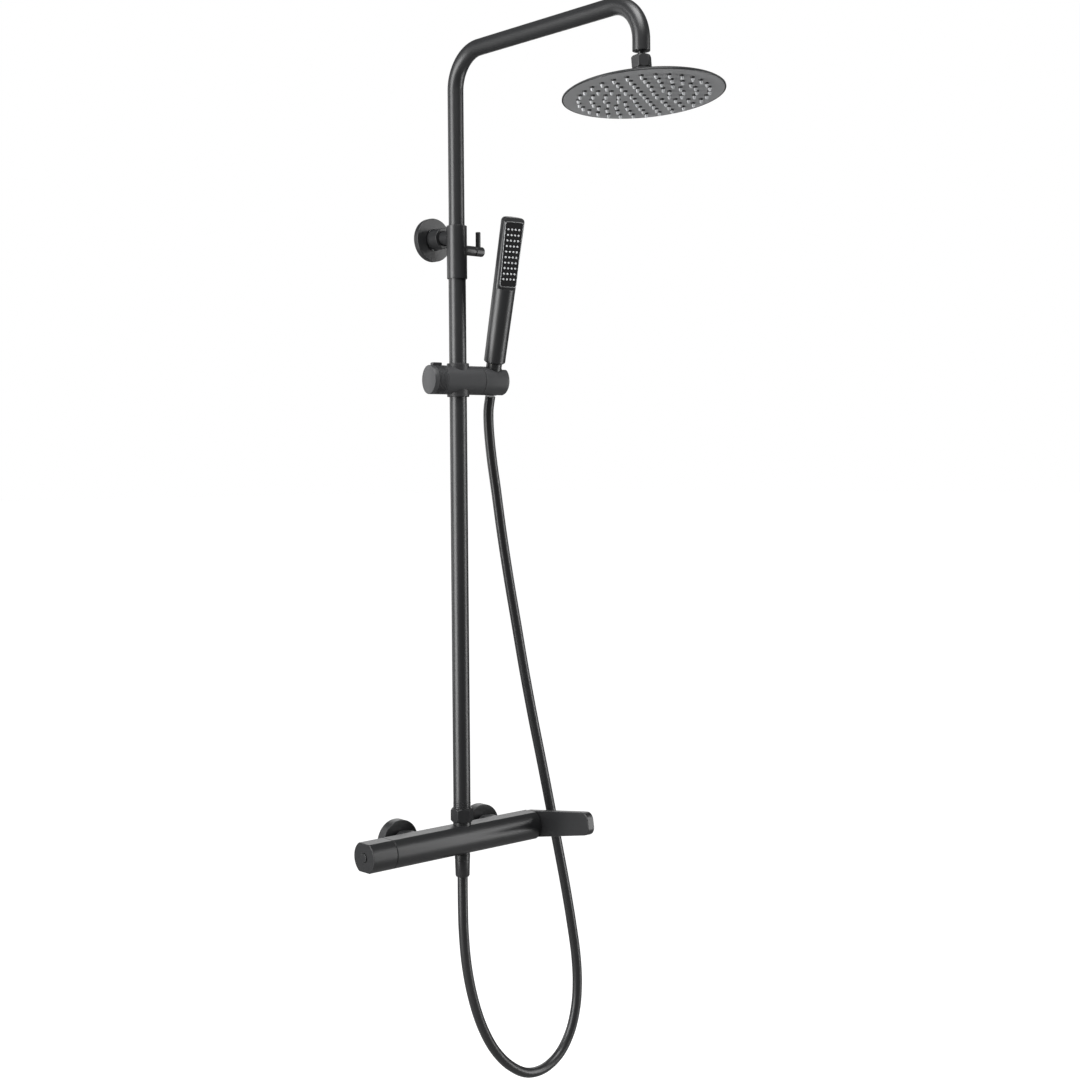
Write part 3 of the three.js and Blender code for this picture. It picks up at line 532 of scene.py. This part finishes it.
# %% [markdown]
# ## Hexagon nuts
# A nut is a hexagon whose corners are turned down at both ends. Its radius in each direction is the
# smaller of the hexagon's and the chamfer cone's at that height, so the curved line where a chamfer meets
# a flat comes out by itself when the rings are close together near the ends.

# %% Nuts
def nut(flats, low, high, chamfer, start=0, sides=96, steps=6, slope=0.9):
    levels = [low + chamfer * k / steps for k in range(steps + 1)]
    levels += [high - chamfer * (steps - k) / steps for k in range(steps + 1)]
    rings = []
    for level in levels:
        cone = flats / math.sqrt(3) - slope * max(chamfer - (level - low), chamfer - (high - level), 0)
        ring = []
        for k in range(sides):
            angle = 360 * k / sides
            off_flat = math.radians((angle - start + 30) % 60 - 30)
            reach = min(flats / 2 / math.cos(off_flat), cone)
            around = math.radians(angle)
            ring.append(Vector((reach * math.cos(around), reach * math.sin(around), level)) * mm)
        rings.append(ring)
    return skinned(rings)


riser_flats, inlet_flats = 28, 32
riser_nut = nut(riser_flats, low=23.9, high=42.9, chamfer=2.6)
piece("riser_union_nut", riser_nut, "riser_nut", at=valve, edge=0)
tail_rings = [(9, 42.5), (12.2, 43.2)]
for groove in (44.9, 47.7):
    tail_rings += [(12.2, groove), (11.6, groove + 0.3), (11.6, groove + 0.8), (12.2, groove + 1.1)]
tail_rings += [(12.2, 51), (9, 51)]
piece("riser_tail_rings", turned(tail_rings), "riser_tailpiece", at=valve, edge=0.15)
for side, label in ((-1, "left"), (1, "right")):
    wall = Matrix.Translation((side * supply_x, 0, 0)) @ into_room
    union_nut = nut(inlet_flats, low=19, high=37, chamfer=2.4, start=30)
    piece(f"inlet_union_nut_{label}", union_nut, f"union_nut_{label}", at=wall, edge=0)
    piece(f"inlet_union_pipe_{label}", rod(radius=10, low=0, high=24), f"wall_union_{label}", at=wall)
    thread = tube(inner=7.5, outer=10.3, low=-14, high=0)
    piece(f"inlet_union_thread_{label}", thread, f"wall_union_{label}", at=wall)
print("nuts of", riser_flats, "and", inlet_flats, "mm")

# %% [markdown]
# ## Rosettes and bracket
# A rosette is a shallow cup that hides the hole in the tiles. The bracket's rosette carries a boss, and a
# dark gap shows where the rod from the riser slides into it for adjustment. All are turned, with the edge
# of each cup well rounded.

# %% Rosettes and bracket
def cup(radius, depth, hole, skin=1.8):
    return turned([(radius - skin, 0), (radius, 0), (radius, depth), (hole, depth), (hole, depth - skin),
                   (radius - skin, depth - skin)], steps=96)


for side, label in ((-1, "left"), (1, "right")):
    wall = Matrix.Translation((side * supply_x, 0, 0)) @ into_room
    rosette = cup(radius=30, depth=15, hole=10.6)
    piece(f"supply_rosette_{label}", rosette, f"valve_rosette_{label}", at=wall, edge=0.9, rounds=3)
bracket_height = middle("bracket_rosette").z
bracket = Matrix.Translation((0, 0, bracket_height)) @ into_room
bracket_cup = cup(radius=30, depth=9, hole=14.4)
piece("bracket_cover", bracket_cup, "bracket_rosette", at=bracket, edge=0.9, rounds=3)
boss = turned([(8, 4.3), (14.4, 9.3), (14.4, 30), (10, 30), (10, 14), (8, 14)])
piece("bracket_barrel", boss, "bracket_boss", at=bracket, edge=0.7, rounds=3)
piece("bracket_rod", rod(radius=9.7, low=14.5, high=47), "riser_sleeve", at=bracket, edge=0.3)
print("bracket at", round(bracket_height, 3), "m")

# %% [markdown]
# ## Riser tubes and arm
# The riser is two tubes, the upper sliding in the lower, and the upper bends twice into the arm. The
# lower one is turned; the upper follows a route of straight lines and quarter bends, with rings closer
# together in the bends and a real open end over the head's nipple.

# %% Riser and arm
lower_low, lower_high = (end.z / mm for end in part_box("lower_riser_tube"))
lower_riser = tube(inner=11.3, outer=12, low=lower_low, high=lower_high, steps=72)
piece("lower_riser", lower_riser, "lower_riser_tube", at=valve, edge=0.15)
arm_low, arm_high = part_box("riser_arm_tube")
arm_radius, arm_bore = 11 * mm, 9.4 * mm
bend = 50 * mm
arm_top = arm_high.z - arm_radius
arm_front = joint_point("head_spin").y
arm_end = 1022.5 * mm
mouth_depth = 8 * mm
straight = arm_top - bend - arm_low.z
quarter = [math.pi / 2 * k / 24 for k in range(25)]
arm_route = [Vector((0, riser_centre.y, arm_low.z + straight * k / 4)) for k in range(4)]
for angle in quarter:
    forward, drop = bend * (1 - math.cos(angle)), bend * (1 - math.sin(angle))
    arm_route.append(Vector((0, riser_centre.y - forward, arm_top - drop)))
for angle in quarter:
    behind, drop = bend * (1 - math.sin(angle)), bend * (1 - math.cos(angle))
    arm_route.append(Vector((0, arm_front + behind, arm_top - drop)))
arm_route.append(Vector((0, arm_front, arm_end)))
arm_frames = ring_frames(arm_route)
arm_rings = [ring_at(place, arm_radius, sides=48) for place in arm_frames]
mouth = arm_frames[-1]
deeper = (mouth[0] + Vector((0, 0, mouth_depth)), mouth[1], mouth[2])
arm_rings += [ring_at(mouth, arm_bore, sides=48), ring_at(deeper, arm_bore, sides=48)]
piece("overhead_arm_tube", skinned(arm_rings), "riser_arm_tube", edge=0.3)
print("arm reaches", round(-arm_front, 3), "m from the wall")

# %% [markdown]
# ## Sleeve and clamp
# Where the upper tube goes into the lower one, a sleeve covers the joint. A stub on its side holds the
# clamp screw, and a small cap with an upright pin turns it by hand. The sleeve ends in a thin lip round
# the upper tube.

# %% Sleeve and clamp
sleeve = [(12.3, 779.4), (14, 779.4), (14, 852), (11.3, 852), (11.3, 849), (12.3, 849)]
piece("joint_sleeve", turned(sleeve, steps=72), "riser_sleeve", at=valve, edge=0.5, rounds=3)
clamp_height = joint_point("clamp_lever_turn").z
clamp = Matrix.Translation((0, riser_centre.y, clamp_height))
stub = rod(radius=6.8, low=12.5, high=30.4)
piece("clamp_stub", stub, "riser_sleeve", at=clamp @ along_x, edge=0.5)
neck = rod(radius=5.9, low=29, high=33)
piece("clamp_neck", neck, "clamp_lever", at=clamp @ along_x, edge=0)
cap = rod(radius=6.8, low=31, high=45.5)
piece("clamp_cap", cap, "clamp_lever", at=clamp @ along_x, edge=0.9, rounds=3)
pin = rod(radius=3.5, low=3, high=27, steps=32)
pin_place = clamp @ Matrix.Translation((38.4 * mm, 0, 0))
piece("clamp_pin", pin, "clamp_lever", at=pin_place, edge=0.8, rounds=3)
print("clamp at", round(clamp_height, 3), "m")

# %% [markdown]
# ## Slider
# The slider is a short bar across the riser: a grooved lock knob with a raised tab on one end, the body
# with a plastic bush round the tube, and the tilting holder on the other end. Fine rings are turned into
# the knob for grip. The bore for the bush is cut with the Boolean modifier, which is applied, and the
# cutter is removed.

# %% Slider body and lock knob
def cut_away(made, cutters):
    for cutter in cutters:
        cut = made.modifiers.new("cut", "BOOLEAN")
        cut.operation = "DIFFERENCE"
        cut.solver = "EXACT"
        cut.object = cutter
    bpy.context.view_layer.update()
    solid = bpy.data.meshes.new_from_object(made.evaluated_get(bpy.context.evaluated_depsgraph_get()))
    made.modifiers.clear()
    made.data = solid
    solid.shade_smooth()
    solid.set_sharp_from_angle(angle=math.radians(32))
    for cutter in cutters:
        bpy.data.objects.remove(cutter)


def block(size, centre):
    """A box, given like the outlines in millimetres."""
    shape = bmesh.new()
    bmesh.ops.create_cube(shape, size=1)
    bmesh.ops.scale(shape, vec=Vector(size) * mm, verts=shape.verts)
    bmesh.ops.translate(shape, vec=Vector(centre) * mm, verts=shape.verts)
    return shape


bar = turned([(0, -24.9), (19.6, -24.9), (20, -24.5), (20, 33.5), (19.6, 33.9), (0, 33.9)], steps=96)
slider_barrel = mesh_object("slider_barrel", bar, at=slider @ along_x)
bush_bore = rod(radius=15.5, low=-30, high=30, steps=72)
cut_away(slider_barrel, [mesh_object("bush_cutter", bush_bore, at=slider)])
dressed(slider_barrel, "slider_body", finishes["slider_coating"])
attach(slider_barrel, body_of["slider_body"])
bush = tube(inner=12.3, outer=15.4, low=-23, high=23, steps=72)
piece("tube_bush", bush, "slider_bush", at=slider, edge=0.6, rounds=3)
knob = [(0, -46), (19.3, -46), (19.8, -45.8), (20, -45.3)]
for k in range(6):
    groove = -39 + 2.1 * k
    knob += [(20, groove), (19.1, groove + 0.2), (19.1, groove + 1.0), (20, groove + 1.2)]
knob += [(20, -25.6), (19.7, -25.3), (0, -25.3)]
piece("lock_knob_grip", turned(knob, steps=96), "lock_knob", at=slider @ along_x, edge=0,
      finish=finishes["slider_coating"])
tab = block(size=(14, 9, 4.4), centre=(-34, 0, 21.4))
piece("lock_knob_tab", tab, "lock_knob", at=slider, edge=1.2, rounds=4)
print("slider at", round(slider_height, 3), "m")

# %% [markdown]
# ## Handset holder
# The holder carries on the slider's bar and ends in a rounded face. A tapered seat runs through it for
# the hose's cone nut, and a slot opens the seat outwards so that the hose can be lifted out. The seat and
# slot are cut away in the same manner as the slider's bore.

# %% Holder
end_start, end_round = 68, 5
rounded_end = arc((end_start, 20 - end_round), end_round, 90, 0, 8)
holder_outline = [(0, 34.3), (19.6, 34.3), (20, 34.7), *[(out, along) for along, out in rounded_end], (0, 73)]
holder = mesh_object("holder_barrel", turned(holder_outline, steps=96), at=slider @ along_x)
seat = turned([(0, -23), (9.55, -23), (11.95, 23), (0, 23)])
slot = block(size=(22, 16, 60), centre=(11, 0, 0))
cut_away(holder, [mesh_object("seat_cutter", seat, at=handset), mesh_object("slot_cutter", slot, at=handset)])
dressed(holder, "handset_holder", finishes["slider_coating"])
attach(holder, body_of["handset_holder"])
print("holder has", len(holder.data.polygons), "faces")

# %% [markdown]
# ## Handset
# The handset is a stick, slightly wider at the top, with a flat cut along its upper half for the spray
# face, three degrees deeper toward the top. Each ring of the stick is a circle whose points are held back
# by the flat, and two rings at the same height make the step where the flat begins.

# %% Stick
flat_out, flat_foot = 9.2, 131
flat_tilt = math.radians(3)


def stick_ring(station, radius, cut):
    flat = (flat_out - max(station - flat_foot, 0) * math.tan(flat_tilt)) * mm
    ring = []
    for k in range(96):
        angle = 2 * math.pi * k / 96
        out = radius * mm * math.sin(angle)
        ring.append(Vector((radius * mm * math.cos(angle), max(out, -flat) if cut else out, station * mm)))
    return ring


stick_foot, stick_shoulder = 27.4, 222.5
top_radius, top_round = 16.46, 5.5
stick = [stick_ring(stick_foot, 14.2, cut=False), stick_ring(28.2, 15, cut=False),
         stick_ring(flat_foot, 15.76, cut=False), stick_ring(flat_foot, 15.76, cut=True)]
for along, out in arc((stick_shoulder, top_radius - top_round), top_round, 90, 0, 8):
    stick.append(stick_ring(along, out, cut=True))
piece("handset_stick", skinned(stick), "handset_body", at=handset, edge=0.6, rounds=3)
collar = tube(inner=8, outer=13.2, low=26.4, high=28)
piece("handset_collar", collar, "handset_body", at=handset, edge=0.3)
print("stick", round(stick_shoulder + top_round - stick_foot), "mm long")

# %% [markdown]
# ## Spray face
# A black plate fills the flat, a thin bright frame with rounded corners goes round it, and forty small
# silicone nozzles stand through it in four columns. The frame widens toward the top like the flat it
# follows. It is skinned through four rounded outlines, and the nozzles are plain cones with few sides
# because there are so many. All of them are drawn upright and tipped back on to the flat together.

# %% Spray face
plate_centre = 178.5
hinge = Vector((0, -flat_out, flat_foot)) * mm
face = handset @ Matrix.Translation(hinge) @ Matrix.Rotation(-flat_tilt, 4, "X") @ Matrix.Translation(-hinge)
widening = 0.05


def rounded_rectangle(half_width, half_height, radius, forward, steps=8):
    """An upright outline, forward of the handset's axis, that widens a little toward its top."""
    points = []
    for right_side, upper, start in ((1, 1, 0), (-1, 1, 90), (-1, -1, 180), (1, -1, 270)):
        centre = (right_side * (half_width - radius), upper * (half_height - radius))
        points += arc(centre, radius, start, start + 90, steps)
    wider = [x * (1 + widening * z / half_height) for x, z in points]
    return [Vector((x * mm, -forward * mm, (plate_centre + z) * mm)) for x, (_, z) in zip(wider, points)]


outer, inner = (13.7, 44.4, 3.4), (12.9, 43.6, 2.7)
frame_back, frame_front = 9.1, 10.0
plate_back, plate_front = 8.4, 9.5
frame_rings = [rounded_rectangle(*outer, frame_back), rounded_rectangle(*outer, frame_front),
               rounded_rectangle(*inner, frame_front), rounded_rectangle(*inner, frame_back)]
piece("spray_face_frame", skinned(frame_rings + frame_rings[:1], capped=False), "handset_face_frame",
      at=face, edge=0.2)
plate_rings = [rounded_rectangle(*inner, plate_back), rounded_rectangle(*inner, plate_front)]
piece("spray_face_plate", skinned(plate_rings), "handset_face_plate", at=face, edge=0,
      finish=finishes["spray_black"])
rows, row_pitch = 10, 7.5
columns, column_pitch = 4, 5.6
nozzles = bmesh.new()
for row in range(rows):
    for column in range(columns):
        across, up = (column - (columns - 1) / 2) * column_pitch, (row - (rows - 1) / 2) * row_pitch
        spot = Vector((across, -frame_front, plate_centre + up)) * mm
        bmesh.ops.create_cone(nozzles, cap_ends=True, segments=14, radius1=1.45 * mm, radius2=1.1 * mm,
                              depth=1.1 * mm, matrix=Matrix.Translation(spot) @ into_room)
piece("handset_nozzles", nozzles, "handset_nozzle_mat", at=face, edge=0)
print(rows * columns, "nozzles on a face of", 2 * inner[0], "by", 2 * inner[1], "mm")

# %% [markdown]
# ## Hose nuts
# At the top a tapered nut holds the hose in the holder's seat, and at the valve a smaller cone nut screws
# on to the outlet. Both are turned, with a shoulder line near the wide end, and the small light gap above
# the outlet nut is the washer's.

# %% Hose nuts
cone_nut = [(7.3, -17.8), (7.3, -18.8), (9.3, -19), (11, 12), (11, 13.4), (10.6, 13.8), (10.6, 14.4),
            (11, 14.8), (11, 25.8), (8.6, 25.8), (8.6, 14), (7.6, 14)]
piece("cone_nut", turned(cone_nut), "hose_cone_nut", at=handset, edge=0.3)
outlet_nut = [(7.6, -53.4), (8.8, -54), (9.9, -52), (10.5, -31), (10.2, -30.6), (10.2, -30),
              (10.6, -29.6), (10.8, -22.3), (8.2, -22.3), (8.2, -33), (7.6, -33)]
piece("outlet_nut", turned(outlet_nut), "outlet_hose_nut", at=valve, edge=0.3)
heights = [height for _, height in cone_nut]
print("cone nut", round(max(heights) - min(heights), 1), "mm long")

# %% [markdown]
# ## Rain head
# The head is a very thin disc that swells to a small dome round the swivel. Its shell is black; the face under it,
# a little inside the rim, is matt black too and is coloured grey as a painted sheen for the reflection it shows
# from below. The shell's outline keeps the rim only a millimetre or so thick, and the flats of the swivel nut are
# made as on the other nuts.

# %% Rain head
rim = 100
shell = [(5, -10.8), (5, -41.4), (98.4, -41.4), (98.8, -43), (99.7, -43), (rim, -42.6), (99.8, -41.2),
         (97, -39.2), (80, -37.6), (50, -34.4), (25, -31.8), (16, -30.6), (12.8, -29), (11.2, -26.4),
         (10.8, -23), (10.8, -10.8)]
piece("rain_head_shell", turned(shell, steps=128), "head_shell", at=head, edge=0.25)
spray_disc = rod(radius=98.2, low=-43, high=-41.6, steps=128)
piece("rain_head_face", spray_disc, "head_spray_plate", at=head, edge=0.2)
swivel_nut = nut(22, low=-10.4, high=4.4, chamfer=1.6)
piece("head_swivel_nut", swivel_nut, "swivel_nut", at=head, edge=0)
neck = [(0, 0), (6, 0), (4.9, 3.4), (4.6, 4.6), (4.6, 9), (9.1, 9.8), (9.1, 20), (0, 20)]
arm_foot = Matrix.Translation(joint_point("head_spin"))
piece("ball_neck", turned(neck), "arm_ball_nipple", at=arm_foot, edge=0.2)
print("rain head", 2 * rim, "mm across")

# %% [markdown]
# ## Rain nozzles
# Ninety-one soft nozzles stand in rings of six, twelve and so on round one in the middle. Each is a small cone,
# and a dark ring round its root is painted shade, standing for the shadow where the nozzle comes out of the face.

# %% Rain nozzles
def nozzle_spots(pitch=16):
    spots = [(0, 0)]
    for ring in range(1, 6):
        for k in range(6 * ring):
            angle = math.pi / 6 + 2 * math.pi * k / (6 * ring)
            spots.append((pitch * ring * math.cos(angle), pitch * ring * math.sin(angle)))
    return spots


def studded(low, high, low_radius, high_radius, segments):
    shape = bmesh.new()
    for x, y in nozzle_spots():
        spot = Matrix.Translation(Vector((x, y, (low + high) / 2)) * mm)
        bmesh.ops.create_cone(shape, cap_ends=True, segments=segments, radius1=low_radius * mm,
                              radius2=high_radius * mm, depth=(high - low) * mm, matrix=spot)
    return shape


tips = studded(low=-48.4, high=-45.1, low_radius=1.5, high_radius=2.2, segments=14)
piece("rain_nozzles", tips, "head_nozzle_mat", at=head, edge=0)
# Painted shade: dark black plastic rings round the nozzle roots stand for the shadow where each nozzle leaves the
# face.
root_shade = studded(low=-45.2, high=-42.6, low_radius=2.4, high_radius=3.1, segments=14)
piece("rain_nozzle_root_shade", root_shade, "head_nozzle_mat", at=head, edge=0, finish=finishes["black_plastic"])
print(len(nozzle_spots()), "rain nozzles")

# %% [markdown]
# ## Studio
# The floor is a plain pale sheet well below the hose. The world is seen as white but lights the black
# coating only a little, as black flags round a studio set do, so that the coating stays dark. Five soft
# boxes, which are not seen themselves, draw the highlights: a tall one on the left the broad line down
# every tube, one overhead what faces up, a narrow one on the right the thin second line, a weak one
# behind on the left the ends of the bars, and one behind on the right the valve's flat top.

# %% Studio
def soft_box(name, place, target, width, height, watts):
    light = bpy.data.lights.new(name, "AREA")
    light.shape = "RECTANGLE"
    light.size = width
    light.size_y = height
    light.energy = watts
    made = bpy.data.objects.new(name, light)
    bpy.context.scene.collection.objects.link(made)
    made.location = place
    made.rotation_euler = (Vector(target) - Vector(place)).to_track_quat("-Z", "Y").to_euler()
    made.visible_camera = False


floor_height = -1.0
sheet = bmesh.new()
bmesh.ops.create_grid(sheet, x_segments=1, y_segments=1, size=80)
floor = mesh_object("pale_floor", sheet, at=Matrix.Translation((0, 0, floor_height)))
pale = Finish("pale_floor", {"Roughness": 0.9, "Specular IOR Level": 0.0, "Emission Color": (1, 1, 1, 1)})
lit = pale.node("ShaderNodeLightPath", {}, {}, output=0)
pale.feed(pale.shader.inputs["Emission Strength"], lit)
pale.tint(pale.grain(scale=0.5, detail=1), (0.30, 0.30, 0.30), (0.34, 0.34, 0.34))
floor.data.materials.append(pale.material)
soft_box("left_box", (-2.4, 0.4, 0.6), (0, -0.1, 0.4), 1.4, 2.6, 135)
soft_box("top_box", (-0.5, -1.1, 2.7), (0, -0.1, 0.3), 1.6, 1.4, 90)
soft_box("right_box", (1.8, -1.7, 0.3), (0, -0.1, 0.3), 0.8, 2.4, 52)
soft_box("rear_left_box", (-0.7, 2.3, 0.7), (0, -0.1, 0.5), 1.2, 1.8, 14)
soft_box("back_box", (1.9, 2.2, 1.3), (0, -0.1, 0.3), 2.6, 1.8, 24)
unseen_strength, seen_strength = 0.1, 1.0
world = bpy.data.worlds.new("white_studio")
world.use_nodes = True
bpy.context.scene.world = world
sky = next(n for n in world.node_tree.nodes if n.type == "BACKGROUND")
sky.inputs["Color"].default_value = (1, 1, 1, 1)
ray = world.node_tree.nodes.new("ShaderNodeLightPath")
seen = Signal(world.node_tree, ray.outputs["Is Camera Ray"])
strength = unseen_strength + seen * (seen_strength - unseen_strength)
world.node_tree.links.new(strength.socket, sky.inputs["Strength"])
bpy.context.scene.view_settings.view_transform = "Standard"
print("studio lit by 5 soft boxes")
